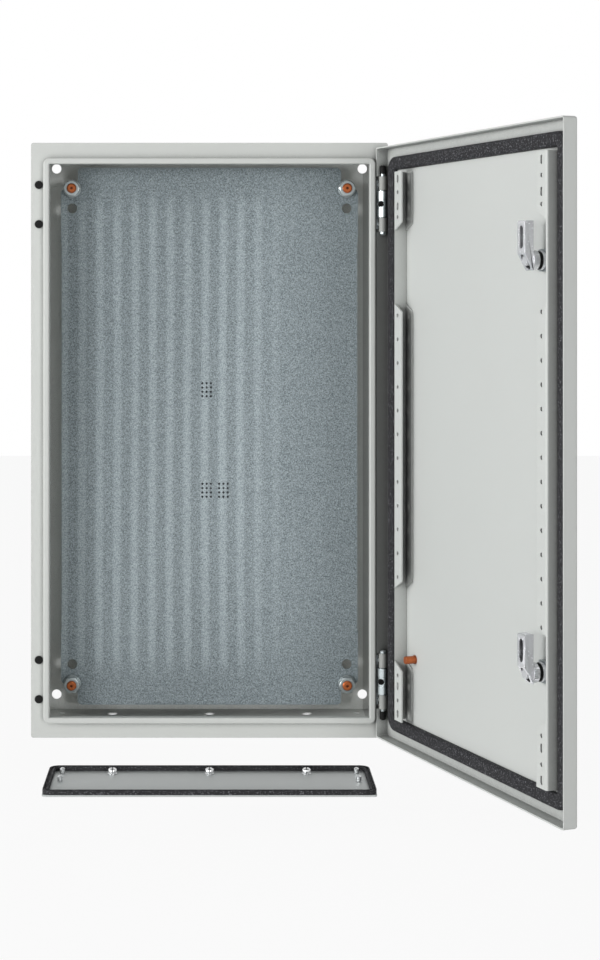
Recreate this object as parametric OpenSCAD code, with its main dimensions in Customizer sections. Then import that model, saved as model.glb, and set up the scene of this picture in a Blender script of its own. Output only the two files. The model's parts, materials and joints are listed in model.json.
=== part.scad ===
// Steel wall enclosure: a folded cabinet with a mounting plate, a hinged door with
// two cam locks, and a gland plate that closes the bottom.
// Millimetres. X to the right, Y into the wall, Z up. The origin is the centre of
// the four wall holes, on the back face. The door stands open at rest.

/* [Cabinet] */
// Width of the cabinet
cabinet_w = 300; // [260:5:420]
// Height of the cabinet
cabinet_h = 500; // [460:5:700]
// Depth of the cabinet, with the door shut
cabinet_d = 120; // [116:1:240]
// Thickness of the cabinet sheet
sheet_t = 1.2; // [1:0.1:1.4]
// Outer radius of the folded edges
fold_r = 2; // [1.6:0.1:3]
// Width of the front flange at the sides
flange_side = 10.8; // [10.6:0.1:11.4]
// Width of the front flange at the top and bottom
flange_end = 13; // [11:0.5:15]
// Height of the rain lip in front of the flange
lip_h = 6.8; // [5.5:0.1:7.6]
// Width of the rain lip across its fold
lip_w = 5.2; // [4.2:0.1:5.4]
// Outer corner radius of the rain lip
lip_r = 5.5; // [5.5:0.5:8]
// Diameter of the wall holes
wall_hole_d = 8.5; // [6:0.5:10]
// Distance of the wall holes from the sides
wall_inset_x = 13; // [10:0.5:16]
// Distance of the wall holes from the top and bottom
wall_inset_z = 14.5; // [12:0.5:20]

/* [Mounting plate] */
// Distance of the plate's edges from the cabinet's sides
plate_inset = 19; // [17:0.5:24]
// Height that the plate lacks to the cabinet
plate_short = 26.5; // [20:0.5:40]
// How far the plate hangs below the cabinet's middle
plate_drop = 2.3; // [0:0.1:3]
// Thickness of the plate
plate_t = 1.5; // [1.2:0.1:2.5]
// Distance of the plate from the back panel
plate_gap = 26; // [14:1:40]
// Width of the corner notches
plate_notch = 14.8; // [14:0.1:16]
// Height of the corner notches
plate_notch_h = 17.5; // [16.5:0.1:19]
// Depth of the stiffening flanges along the sides
plate_flange = 10; // [5:0.5:12]
// Diameter of the spare holes beside the studs
spare_hole_d = 8.6; // [6:0.2:10]
// Distance between a stud and its spare hole
spare_pitch = 17.4; // [16:0.2:24]
// Pitch of the small perforations
perf_pitch = 3.8; // [3:0.1:5]
// Diameter of the small perforations
perf_d = 1.8; // [1.2:0.1:2.2]

/* [Studs] */
// Diameter of the plate's studs
stud_d = 8; // [6:0.5:8]
// Distance of the studs from the plate's side edge
stud_inset = 10; // [9:0.5:11]
// Distance of the studs from the cabinet's top and bottom
stud_end = 31.7; // [30:0.1:33]
// Width of the nuts across their flats
nut_af = 13; // [10:0.5:13.5]
// Height of the nuts
nut_h = 6.5; // [4:0.5:8]
// Diameter of the washers
washer_d = 15.5; // [14:0.5:17]
// Thickness of the washers
washer_t = 1.6; // [1:0.1:2]
// Length of stud that shows in front of the nut
stud_show = 2.5; // [1:0.5:6]

/* [Door] */
// Opening angle of the door at rest, in degrees
open_angle = 110.6; // [0:0.1:111]
// Gap between the door's side edge and the cabinet's side
door_side_gap = 0.8; // [0.5:0.1:1.2]
// Gap between the door's ends and the cabinet's ends
door_end_gap = 3; // [2:0.5:4]
// How far the door hangs below the cabinet's middle
door_drop = 1.5; // [0:0.5:2]
// Depth of the door's folded edge
door_d = 11.5; // [11:0.1:12.5]
// Gap between the door's edge and the front flange
door_gap = 1.9; // [1.9:0.1:3]
// Distance of the door seal from the door's edge
seal_inset = 8.5; // [8.3:0.1:9]
// Width of the door seal
seal_w = 11.5; // [11:0.1:11.8]
// Outer corner radius of the door seal
seal_r = 12; // [12:0.5:16]

// Distance of the earth stud from the door's hinge side edge
earth_x = 52; // [48:0.5:60]
// Distance of the earth stud from the door's lower end
earth_end = 73.6; // [60:0.1:90]
// Length of the earth stud
earth_l = 9; // [6:0.5:12]

/* [Door strips] */
// Height of the perforated strips above the door panel
strip_h = 11.4; // [8:0.1:12]
// Width of the perforated face
strip_w = 14; // [12:0.5:15]
// Width of the welded foot
strip_foot = 12; // [8:0.5:13]
// Distance of the hinge side strip from the door's edge
hinge_strip_x = 36; // [32:0.5:50]
// Distance of the lock side strip from the door's edge
lock_strip_x = 21; // [20.6:0.1:21.4]
// Distance of the strips' ends from the door's ends
strip_end = 22.5; // [21:0.5:30]
// Pitch of the holes in the hinge side strip
hinge_strip_pitch = 19.4; // [18:0.1:20]
// Pitch of the holes in the lock side strip
lock_strip_pitch = 17.1; // [16:0.1:18]
// Diameter of the strip holes
strip_hole_d = 3.2; // [2.4:0.1:4]

/* [Hinges] */
// Distance of the hinges from the cabinet's top and bottom
hinge_end = 50.4; // [48:0.1:60]
// Distance of the pin's axis from the door's side edge
pin_inset = 4; // [3.8:0.1:4.1]
// Distance of the pin's axis from the door's inner rim
pin_back = 4.6; // [4.4:0.1:4.6]
// Diameter of the hinge pin
pin_d = 3.8; // [3:0.1:4]
// Height of the fixed knuckle
knuckle_h = 22.2; // [18:0.1:24]
// Diameter of the fixed knuckle
knuckle_d = 8.5; // [7:0.1:8.6]
// Length of each door barrel
barrel_l = 11.7; // [9:0.1:13]
// Diameter of each door barrel
barrel_d = 6.8; // [6.6:0.1:7]
// Distance between the two hinge screws
hinge_pitch = 33; // [31:0.5:35]
// Distance of the hinge screws from the cabinet's side
hinge_screw_x = 6.6; // [6.4:0.1:7]
// Diameter of the hinge screws
hinge_screw_d = 4; // [3.5:0.1:4.2]

/* [Locks] */
// Distance of the locks from the door's free edge
lock_x = 40; // [38.5:0.1:41]
// Distance of the locks from the door's middle
lock_z = 146.3; // [142:0.1:150]
// How far the locks' middle lies above the door's middle
lock_rise = 1.4; // [0:0.1:2]
// Diameter of the lock barrel
lock_d = 14; // [12:0.5:15]
// Diameter of the lock's outer head
lock_head_d = 24; // [20:0.5:28]
// Diameter of the lock's spindle
spindle_d = 8; // [6:0.2:9]
// Length of the cam from the lock's axis to its tip
cam_l = 28; // [26:0.5:32]
// Width of the cam
cam_w = 10.6; // [9:0.1:12]
// Thickness of the cam
cam_t = 7; // [5:0.1:8]

/* [Gland plate] */
// Distance of the gland plate's edges from the cabinet's sides
gland_inset = 7.5; // [6:0.5:9]
// Distance of the gland plate from the cabinet's front flange
gland_front = 15; // [12:0.5:17]
// Distance of the gland plate from the cabinet's back
gland_back = 4; // [3:0.5:6]
// Thickness of the gland plate
gland_t = 1.5; // [1.2:0.1:2.5]
// Width of the gland seal
gland_seal_w = 5; // [4.5:0.1:6]
// Height of the gland seal
gland_seal_h = 4; // [3:0.1:6]
// How far the gland plate is lowered at rest
gland_lower = 48; // [0:1:80]
// Width of the cable opening
gland_open_w = 236; // [180:2:240]
// Depth of the cable opening
gland_open_d = 44; // [36:1:46]
// Distance of the cable opening from the front flange
gland_open_y = 26; // [24:1:28]

// Distance of the clips from the gland plate's rear edge
clip_in = 15; // [14:0.5:17]
// Pitch of the clips
gland_clip_pitch = 86; // [80:0.5:90]
// Distance of the dowels from the gland plate's ends
dowel_in = 12; // [11:0.5:14]
// Distance between the rear and the front dowels
dowel_pitch = 25; // [20:0.5:30]

/* [Hidden] */

// Fits
run_gap = 0.05;
seat_gap = 0.3;
hair = 0.02;
cut = 1;

// Planes along the depth
front_y = -(cabinet_d - door_d - door_gap);
door_y = -cabinet_d;
door_in_y = door_y + sheet_t;
plate_y = -sheet_t - plate_gap;

// Lip and its opening
lip_out_w = cabinet_w - 2 * flange_side;
lip_out_h = cabinet_h - 2 * flange_end;

// Door
door_w = cabinet_w - 2 * door_side_gap;
door_h = cabinet_h - 2 * door_end_gap;
door_side = door_w / 2;
door_r = 2.2;
seal_h = -door_in_y + front_y - lip_h - seat_gap;

// Hinge axis
hinge_x = door_side - pin_inset;
hinge_y = door_y + door_d - pin_back;
hinge_z = cabinet_h / 2 - hinge_end;
hinge_screw_at = cabinet_w / 2 - hinge_screw_x;
barrel_r = barrel_d / 2;
barrel_seat = sqrt(pow(barrel_r, 2) - pow(pin_inset - sheet_t, 2)) + run_gap;
leaf_t = 1;
plug_hole_r = hinge_screw_d / 2 + seat_gap;
knuckle_gap = 0.3;

// Strip pattern, from the strip's middle
strip_len = door_h - 2 * strip_end;
strip_taper = 6.2;
strip_clear = 29.8;
strip_slot_l = 6.4;
strip_slot_w = 3;
strip_slots = [6, 28.6];
strip_holes = [17, 37.4];

// Locks, with their depths measured from the door's outer face
lock_at_x = -door_side + lock_x;
cam_in = door_d + door_gap + sheet_t + 0.4;
ring_in = 7.6;
ring_h = 2.5;
hub_in = ring_in + ring_h + seat_gap;
lock_head_h = 3;

// Gland plate
gland_w = cabinet_w - 2 * gland_inset;
gland_d = -front_y - gland_front - gland_back;
gland_y = (front_y + gland_front - gland_back) / 2;
gland_top = -cabinet_h / 2 - seat_gap - gland_lower;
gland_face = gland_top - gland_seal_h;
gland_clip_y = -gland_back - clip_in;
dowel_x = gland_w / 2 - dowel_in;
dowel_ys = [gland_clip_y + 2, gland_clip_y - dowel_pitch];
clip_r = 4.2;
clip_h = 5.6;
dowel_r = 2.2;
dowel_h = 5;

// Mounting plate
plate_w = cabinet_w - 2 * plate_inset;
plate_h = cabinet_h - plate_short;
stud_x = plate_w / 2 - stud_inset;
stud_z = cabinet_h / 2 - stud_end;
nut_y = plate_y - plate_t - washer_t;
stud_tip = nut_y - nut_h - stud_show;

$fn = 48;

// Rounded rectangle about the origin
module rounded(w, h, r) {
    square([w - 2 * r, h], center = true);
    square([w, h - 2 * r], center = true);
    for (x = [-1, 1], z = [-1, 1])
        translate([x * (w / 2 - r), z * (h / 2 - r)]) circle(r);
}

// Flat sheet in the XZ plane, from y0 back to y1
module slab(w, h, r, y0, y1) {
    translate([0, y1, 0]) rotate([90, 0, 0]) linear_extrude(y1 - y0) rounded(w, h, r);
}

// Cylinder along Y, from y0 back to y1
module rod(r, y0, y1) {
    translate([0, y1, 0]) rotate([90, 0, 0]) cylinder(r = r, h = y1 - y0);
}

// Hexagon nut along Y, without its hole
module hexagon(af, y0, y1) {
    translate([0, y1, 0]) rotate([90, 0, 0])
        cylinder(d = af / cos(30), h = y1 - y0, $fn = 6);
}

// Sweeps a profile round a rectangle with round corners; the profile's x is the
// distance from the corner's centre and its y is the depth
module frame_sweep(w, h, r) {
    for (i = [0:3]) {
        long = i % 2 == 0 ? h : w;
        side = i % 2 == 0 ? w : h;
        rotate([0, 90 * i, 0]) translate([side / 2 - r, 0, 0]) {
            linear_extrude(long - 2 * r, center = true) children();
            translate([0, 0, -(long / 2 - r)]) rotate([-90, 0, 0])
                rotate_extrude(angle = 90) children();
        }
    }
}

// Both signs along X and Z
module four_at(x, z) {
    for (i = [-1, 1], k = [-1, 1]) translate([i * x, 0, k * z]) children();
}

// Height of a hinge; side is 1 at the top and -1 at the bottom
function hinge_at(side) = side * hinge_z - door_drop;

// Places a piece of the shut door where the open door has it
module on_door() {
    translate([hinge_x, hinge_y, 0]) rotate([0, 0, open_angle])
        translate([-hinge_x, -hinge_y, -door_drop]) children();
}

// The four studs of the mounting plate
module at_studs() {
    translate([0, 0, -plate_drop]) four_at(stud_x, stud_z) children();
}

// Places a hinge piece at the hinge's pin; side is 1 at the top and -1 at the bottom
module at_hinge(side) {
    translate([hinge_x, hinge_y, hinge_at(side)]) mirror([0, 0, side > 0 ? 0 : 1]) children();
}

// The open door's side of a hinge
module at_door_hinge(side) {
    at_hinge(side) rotate([0, 0, open_angle]) children();
}

// Folded rain lip; x = 0 is its outer face and y = 0 the flange's front
module lip_profile() {
    bend = 1.4;
    difference() {
        union() {
            translate([-lip_w, -lip_h + bend]) square([lip_w, lip_h - bend]);
            translate([-lip_w + bend, -lip_h]) square([lip_w - 2 * bend, lip_h]);
            translate([-sheet_t, -cut]) square([sheet_t, cut + sheet_t]);
            translate([-bend, -lip_h + bend]) circle(bend);
            translate([-lip_w + bend, -lip_h + bend]) circle(bend);
        }
        translate([-lip_w + sheet_t, -lip_h + sheet_t])
            square([lip_w - 2 * sheet_t, lip_h + cut]);
    }
}

module cabinet_wrap() {
    color([0.80, 0.81, 0.79]) union() {
        difference() {
            slab(cabinet_w, cabinet_h, fold_r, front_y, 0);
            slab(cabinet_w - 2 * sheet_t, cabinet_h - 2 * sheet_t, fold_r - sheet_t,
                front_y + sheet_t, cut);
            slab(lip_out_w - sheet_t, lip_out_h - sheet_t, lip_r - sheet_t / 2,
                front_y - cut, front_y + 2 * sheet_t);
            for (side = [-1, 1], k = [-1, 1], i = [-1, 1])
                translate([i * hinge_screw_at, 0, hinge_at(side) + k * hinge_pitch / 2])
                    rod(plug_hole_r, front_y - cut, front_y + 2 * sheet_t);
            gland_cuts();
        }
        frame_sweep(lip_out_w, lip_out_h, lip_r)
            translate([lip_r, front_y]) lip_profile();
    }
}

// Cable opening, clip holes and dowel holes in the cabinet's bottom
module gland_cuts() {
    translate([0, 0, -cabinet_h / 2 - cut]) {
        translate([0, front_y + gland_open_y + gland_open_d / 2, 0])
            linear_extrude(sheet_t + 2 * cut) rounded(gland_open_w, gland_open_d, 6);
        for (i = [-1:1]) translate([i * gland_clip_pitch, gland_clip_y, 0])
            cylinder(r = clip_r + seat_gap, h = sheet_t + 2 * cut);
        for (i = [-1, 1], y = dowel_ys) translate([i * dowel_x, y, 0])
            cylinder(r = dowel_r + seat_gap, h = sheet_t + 2 * cut);
    }
}

module back_panel() {
    color([0.78, 0.79, 0.77]) difference() {
        slab(cabinet_w - 2 * sheet_t, cabinet_h - 2 * sheet_t, fold_r - sheet_t + 0.4,
            -sheet_t, 0);
        four_at(cabinet_w / 2 - wall_inset_x, cabinet_h / 2 - wall_inset_z)
            rod(wall_hole_d / 2, -sheet_t - cut, cut);
    }
}

// Outline of the mounting plate, with its corner notches
module plate_outline() {
    tab = 4;
    ear = 6;
    difference() {
        rounded(plate_w, plate_h - 2 * plate_notch_h, ear);
        for (i = [-1, 1]) translate([i * (plate_w / 2 + plate_side_step() / 2), 0])
            square([3 * plate_side_step(), plate_fold_l()], center = true);
    }
    rounded(plate_w - 2 * plate_notch, plate_h, tab);
}

// Step between the ears and the folded sides
function plate_side_step() = 0.6;

// Length of the folded sides
function plate_fold_l() = plate_h - 2 * plate_notch_h - 96;

module mounting_plate() {
    color([0.60, 0.64, 0.66]) {
        difference() {
            translate([0, plate_y, -plate_drop]) rotate([90, 0, 0])
                linear_extrude(plate_t) plate_outline();
            translate([0, 0, -plate_drop]) {
                four_at(stud_x, stud_z)
                    rod(stud_d / 2 + 0.5, plate_y - plate_t - cut, plate_y + cut);
                for (i = [-1, 1], k = [-1, 1])
                    translate([i * stud_x, plate_y - plate_t / 2, k * (stud_z + 4)])
                        cube([stud_d + 1, plate_t + 2 * cut, 8], center = true);
                four_at(stud_x, stud_z - spare_pitch)
                    rod(spare_hole_d / 2, plate_y - plate_t - cut, plate_y + cut);
                for (g = [[-2.5, 41.1], [-2.5, -47.6], [12.3, -47.6]])
                    translate([g.x, 0, g.y]) perforation();
            }
        }
        for (i = [-1, 1])
            translate([i * (plate_w / 2 - plate_side_step() - plate_t / 2), 0, -plate_drop])
                translate([-plate_t / 2, plate_y - plate_t, -plate_fold_l() / 2])
                    cube([plate_t, plate_flange, plate_fold_l()]);
    }
}

// Three by four small holes
module perforation() {
    for (i = [-1:1], k = [-1.5:1.5]) translate([i * perf_pitch, 0, k * perf_pitch])
        rod(perf_d / 2, plate_y - plate_t - cut, plate_y + cut);
}

// Studs with a chamfered tip and a centre hole
module plate_studs() {
    chamfer = 0.8;
    color([0.72, 0.36, 0.20]) at_studs() difference() {
        union() {
            rod(stud_d / 2, stud_tip + chamfer, -sheet_t);
            translate([0, stud_tip + chamfer, 0]) rotate([90, 0, 0])
                cylinder(r1 = stud_d / 2, r2 = stud_d / 2 - chamfer, h = chamfer);
        }
        rod(1.2, stud_tip - cut, stud_tip + 1.5);
    }
}

// Ring with a stud's hole, for the nuts and washers
module stud_hole(y0, y1) {
    rod(stud_d / 2 + run_gap, y0 - cut, y1 + cut);
}

module plate_back_nuts() {
    color([0.72, 0.74, 0.76]) at_studs() difference() {
        hexagon(nut_af, plate_y, plate_y + nut_h);
        stud_hole(plate_y, plate_y + nut_h);
    }
}

module plate_washers() {
    color([0.75, 0.77, 0.79]) at_studs() difference() {
        rod(washer_d / 2, nut_y, nut_y + washer_t);
        stud_hole(nut_y, nut_y + washer_t);
    }
}

// Nuts with their front corners turned down
module plate_nuts() {
    front_r = nut_af / 2 - 0.2;
    color([0.78, 0.80, 0.82]) at_studs() difference() {
        intersection() {
            hexagon(nut_af, nut_y - nut_h, nut_y);
            translate([0, nut_y, 0]) rotate([90, 0, 0])
                cylinder(r1 = front_r + 1.7 * nut_h, r2 = front_r, h = nut_h);
        }
        stud_hole(nut_y - nut_h, nut_y);
    }
}

// Plugs in the holes that would take the hinges on the other side
module hinge_hole_plugs() {
    head = 3.4;
    color([0.08, 0.08, 0.08])
        for (side = [-1, 1], k = [-1, 1])
            translate([-hinge_screw_at, 0, hinge_at(side) + k * hinge_pitch / 2]) {
                rod(head, front_y - 0.8, front_y);
                rod(plug_hole_r - run_gap, front_y - 0.8, front_y + sheet_t + 2.5);
            }
}

// Fixed hinge half: knuckle, arm and leaf in one casting
module hinge_body() {
    leaf_x0 = lip_out_w / 2 + 1 - hinge_x;
    leaf_x1 = hinge_screw_at - hinge_x + hinge_screw_d / 2 + 0.8;
    leaf_h = hinge_pitch + 9;
    back = front_y - hinge_y;
    difference() {
        union() {
            cylinder(d = knuckle_d, h = knuckle_h, center = true);
            for (k = [-1, 1]) translate([0, 0, k * knuckle_h / 3])
                cylinder(d = knuckle_d + 0.5, h = knuckle_h / 3.4, center = true);
            translate([-knuckle_d / 2, 0, -knuckle_h / 2])
                cube([knuckle_d / 2 + 1, back, knuckle_h]);
            translate([leaf_x0, back - leaf_t, -leaf_h / 2])
                cube([leaf_x1 - leaf_x0, leaf_t, leaf_h]);
        }
        cylinder(d = pin_d + 2 * run_gap, h = knuckle_h + 2 * cut, center = true);
        for (k = [-1, 1])
            translate([hinge_screw_at - hinge_x, 0, k * hinge_pitch / 2])
                rod(hinge_screw_d / 2 + run_gap, back - leaf_t - cut, back + cut);
        // Grub screw hole in the knuckle's middle ring
        translate([-1.9, 0, 0]) rod(2.5, -knuckle_d, 0);
    }
}

module upper_hinge_body() {
    color([0.80, 0.82, 0.85]) at_hinge(1) hinge_body();
}

module lower_hinge_body() {
    color([0.80, 0.82, 0.85]) at_hinge(-1) hinge_body();
}

// Screws driven from inside the flange, flush with the leaf
module hinge_screws() {
    head_r = 3.6;
    head_h = 2.6;
    tip = front_y - leaf_t;
    color([0.70, 0.72, 0.74])
        for (side = [-1, 1], k = [-1, 1])
            translate([hinge_screw_at, 0, hinge_at(side) + k * hinge_pitch / 2]) difference() {
                union() {
                    rod(hinge_screw_d / 2, tip, front_y + sheet_t + head_h);
                    rod(head_r, front_y + sheet_t, front_y + sheet_t + head_h);
                }
                hexagon(3, front_y + sheet_t + head_h - 1.6, front_y + sheet_t + head_h + cut);
            }
}

// Folded rim of the door; x = 0 is the door's side face and y = 0 its front face
module rim_profile() {
    core = hair - door_r;
    difference() {
        union() {
            translate([core, door_r]) square([-core, door_d - door_r]);
            intersection() {
                translate([-door_r, door_r]) circle(door_r);
                translate([core, 0]) square([-core, door_r]);
            }
        }
        translate([core - cut, sheet_t]) square([-core - sheet_t + cut, door_d]);
    }
}

module door_panel() {
    flat_w = door_w - 2 * door_r + 4 * hair;
    flat_h = door_h - 2 * door_r + 4 * hair;
    color([0.82, 0.83, 0.81]) on_door() difference() {
        union() {
            frame_sweep(door_w, door_h, door_r) translate([door_r, door_y]) rim_profile();
            translate([-flat_w / 2, door_y, -flat_h / 2]) cube([flat_w, sheet_t, flat_h]);
        }
        for (side = [-1, 1]) translate([0, 0, side * hinge_z]) {
            hinge_notch(knuckle_h / 2 + 0.2, door_y + door_r + 0.4);
            hinge_notch(knuckle_h / 2 + knuckle_gap + barrel_l + 0.3, hinge_y - barrel_seat);
        }
        for (k = [-1, 1]) translate([lock_at_x, 0, k * lock_z + lock_rise])
            rod(lock_d / 2 + seat_gap, door_y - cut, door_in_y + cut);
    }
}

// Notch in the rim beside a hinge, from depth y0 to the rim's edge
module hinge_notch(half, y0) {
    translate([door_side - 2 * sheet_t, y0, -half])
        cube([4 * sheet_t, door_d, 2 * half]);
}

// Foamed bead with a round crown; x = 0 is its outer side
module seal_profile(w, h) {
    crown = h * 0.7;
    difference() {
        union() {
            translate([-w, 0]) square([w, h - crown]);
            translate([-w + crown, 0]) square([w - 2 * crown, h]);
            for (x = [-crown, -w + crown]) translate([x, h - crown]) circle(crown);
        }
        translate([-2 * w, -2 * h]) square([3 * w, 2 * h]);
    }
}

module door_seal() {
    color([0.10, 0.10, 0.11]) on_door()
        frame_sweep(door_w - 2 * seal_inset, door_h - 2 * seal_inset, seal_r)
            translate([seal_r, door_in_y]) seal_profile(seal_w, seal_h);
}

// Channel section of a strip: foot, web and perforated face, opening towards +x
module strip_section() {
    bend = 1.8;
    difference() {
        union() {
            translate([bend, 0]) square([strip_w - bend, strip_h]);
            translate([0, bend]) square([bend + 0.01, strip_h - 2 * bend]);
            for (y = [bend, strip_h - bend]) translate([bend, y]) circle(bend);
        }
        translate([sheet_t, sheet_t]) square([strip_w, strip_h - 2 * sheet_t]);
        translate([strip_foot, -cut]) square([strip_w, sheet_t + 2 * cut]);
    }
}

// Clears the strip's face and foot round a lock, with slanted ends
module strip_notch() {
    outer = strip_clear + strip_taper;
    translate([0, door_in_y - cut, 0]) rotate([-90, 0, 0])
        linear_extrude(strip_h + 2 * cut)
            polygon([[strip_w + cut, -outer - cut], [sheet_t, -strip_clear],
                [sheet_t, strip_clear], [strip_w + cut, outer + cut]]);
}

// Perforated strip with its web at x = 0; holes is the number in the middle
module strip(holes, pitch) {
    face_y = door_in_y + strip_h;
    difference() {
        translate([0, door_in_y, 0])
            linear_extrude(strip_len, center = true) strip_section();
        for (k = [-1, 1]) translate([0, 0, k * lock_z]) strip_notch();
        translate([strip_w / 2, 0, 0]) {
            for (i = [0:holes - 1]) translate([0, 0, (i - (holes - 1) / 2) * pitch])
                rod(strip_hole_d / 2, face_y - 2 * sheet_t, face_y + cut);
            for (k = [-1, 1]) {
                for (d = strip_holes) translate([0, 0, k * (strip_len / 2 - d)])
                    rod(strip_hole_d / 2, face_y - 2 * sheet_t, face_y + cut);
                for (d = strip_slots) translate([0, 0, k * (strip_len / 2 - d)])
                    slab(strip_slot_w, strip_slot_l, strip_slot_w / 2 - 0.01,
                        face_y - 2 * sheet_t, face_y + cut);
            }
        }
    }
}

module hinge_side_strip() {
    color([0.80, 0.81, 0.79]) on_door() translate([door_side - hinge_strip_x, 0, 0])
        mirror([1, 0, 0]) strip(12, hinge_strip_pitch);
}

module lock_side_strip() {
    color([0.80, 0.81, 0.79]) on_door() translate([-door_side + lock_strip_x, 0, 0])
        strip(14, lock_strip_pitch);
}

// Tubes welded to the door's rim, above and below each fixed knuckle
module hinge_barrels() {
    start = knuckle_h / 2 + knuckle_gap;
    color([0.66, 0.66, 0.64])
        for (side = [-1, 1]) at_door_hinge(side)
            for (k = [0, 1]) mirror([0, 0, k]) translate([0, 0, start]) difference() {
                cylinder(r = barrel_r, h = barrel_l);
                translate([0, 0, -cut]) cylinder(d = pin_d + 2 * run_gap, h = barrel_l + 2 * cut);
            }
}

// Pin with a domed head at its lower end
module hinge_pin() {
    seat = knuckle_h / 2 + knuckle_gap + barrel_l;
    head_r = pin_inset - sheet_t - 0.2;
    translate([0, 0, -seat]) cylinder(d = pin_d, h = 2 * seat + 6);
    translate([0, 0, -seat]) intersection() {
        sphere(r = head_r + 0.6);
        translate([0, 0, -3]) cylinder(r = head_r, h = 3);
    }
}

module upper_hinge_pin() {
    color([0.80, 0.81, 0.83]) at_door_hinge(1) hinge_pin();
}

module lower_hinge_pin() {
    color([0.80, 0.81, 0.83]) at_door_hinge(-1) hinge_pin();
}

// Plastic caps that hold the pins' ends
module hinge_pin_caps() {
    cap_r = pin_inset - sheet_t - 0.1;
    start = knuckle_h / 2 + knuckle_gap + barrel_l + 2.2;
    cap_h = 7;
    color([0.06, 0.06, 0.06])
        for (side = [-1, 1]) at_door_hinge(side) translate([0, 0, start]) difference() {
            union() {
                cylinder(r = cap_r, h = cap_h - 1);
                translate([0, 0, cap_h - 1]) cylinder(r1 = cap_r, r2 = cap_r - 0.8, h = 1);
            }
            translate([0, 0, -cut]) cylinder(d = pin_d + 2 * run_gap, h = 3.8 + run_gap + cut);
        }
}

module door_earth_stud() {
    color([0.75, 0.30, 0.12]) on_door()
        translate([door_side - earth_x, 0, earth_end - door_h / 2]) {
            rod(3, door_in_y, door_in_y + earth_l);
            rod(3.6, door_in_y, door_in_y + 0.8);
        }
}

// Places a lock piece; side is 1 at the top and -1 at the bottom
module at_lock(side) {
    on_door() translate([lock_at_x, door_y, side * lock_z + lock_rise])
        children();
}

// Die cast barrel with its outer head and key recess
module lock_housing() {
    color([0.62, 0.64, 0.66]) difference() {
        union() {
            rod(lock_head_d / 2, -lock_head_h, 0);
            rod(lock_d / 2, -lock_head_h, ring_in);
        }
        rod(spindle_d / 2 + run_gap, -lock_head_h - cut, ring_in + cut);
        rod(spindle_d / 2 + 1.6, -lock_head_h - cut, lock_recess);
    }
}

// Depth of the key recess behind the door's outer face
lock_recess = 3.5;

module upper_lock_housing() {
    at_lock(1) lock_housing();
}

module lower_lock_housing() {
    at_lock(-1) lock_housing();
}

module lock_nuts() {
    color([0.66, 0.68, 0.70]) for (side = [-1, 1]) at_lock(side) difference() {
        hexagon(lock_d + 2, sheet_t, sheet_t + 3.5);
        rod(lock_d / 2 + run_gap, 0, door_d);
    }
}

// Black rings behind the barrels
module lock_rings() {
    color([0.05, 0.05, 0.05]) for (side = [-1, 1]) at_lock(side) difference() {
        rod(lock_d / 2 - 0.5, ring_in, ring_in + ring_h);
        rod(spindle_d / 2 + run_gap, ring_in - cut, ring_in + ring_h + cut);
    }
}

// Spindle with a double-bit key pin in the outer recess
module lock_spindle() {
    color([0.55, 0.56, 0.58]) {
        rod(spindle_d / 2, lock_recess, cam_in + cam_t - 2.6);
        rod(2.5, -lock_head_h + 0.6, lock_recess);
        translate([-4, -lock_head_h + 0.6, -1]) cube([8, lock_head_h + lock_recess - 0.6, 2]);
    }
}

module upper_lock_spindle() {
    at_lock(1) lock_spindle();
}

module lower_lock_spindle() {
    at_lock(-1) lock_spindle();
}

// Cam with its hub, a slanted foot and a long pocket in its face
module lock_cam() {
    foot = 7.3;
    slant = 4.7;
    pocket_l = 15;
    pocket_at = cam_l - pocket_l / 2 - 4.1;
    color([0.80, 0.81, 0.84]) difference() {
        union() {
            translate([-cam_w / 2, 0, 0]) rotate([90, 0, 90]) linear_extrude(cam_w)
                polygon([[cam_in, -foot], [cam_in + 1.8, -foot], [cam_in + cam_t, slant],
                    [cam_in + cam_t, cam_l - 1], [cam_in + cam_t - 1, cam_l],
                    [cam_in, cam_l]]);
            rod(lock_d / 2, hub_in, cam_in + 0.01);
        }
        rod(spindle_d / 2 + run_gap, hub_in - cut, cam_in + cam_t - 2.6);
        translate([0, 0, pocket_at]) slab(4.4, pocket_l, 2.19, cam_in + cam_t - 4, cam_in + cam_t + cut);
    }
}

module upper_lock_cam() {
    at_lock(1) lock_cam();
}

module lower_lock_cam() {
    at_lock(-1) lock_cam();
}

module gland_plate() {
    color([0.68, 0.70, 0.70]) translate([0, gland_y, gland_face - gland_t])
        linear_extrude(gland_t) rounded(gland_w, gland_d, 3);
}

module gland_seal() {
    seal_corner = 9;
    color([0.07, 0.07, 0.07]) translate([0, gland_y, gland_face]) rotate([90, 0, 0])
        frame_sweep(gland_w - 1, gland_d - 1, seal_corner)
            translate([seal_corner, 0]) seal_profile(gland_seal_w, gland_seal_h);
}

// Domed snap clips along the rear edge
module gland_clips() {
    color([0.86, 0.87, 0.88])
        for (i = [-1:1]) translate([i * gland_clip_pitch, gland_clip_y, gland_face]) {
            cylinder(r = clip_r, h = 2.6);
            translate([0, 0, 2.6]) cylinder(r1 = clip_r, r2 = clip_r - 0.9, h = 1.4);
            translate([0, 0, 4]) cylinder(r1 = clip_r - 0.9, r2 = 1.4, h = clip_h - 4);
        }
}

module gland_dowels() {
    color([0.84, 0.85, 0.86])
        for (i = [-1, 1], y = dowel_ys) translate([i * dowel_x, y, gland_face]) {
            cylinder(r = dowel_r, h = dowel_h - 1);
            translate([0, 0, dowel_h - 1]) cylinder(r1 = dowel_r, r2 = dowel_r - 1, h = 1);
        }
}

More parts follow.
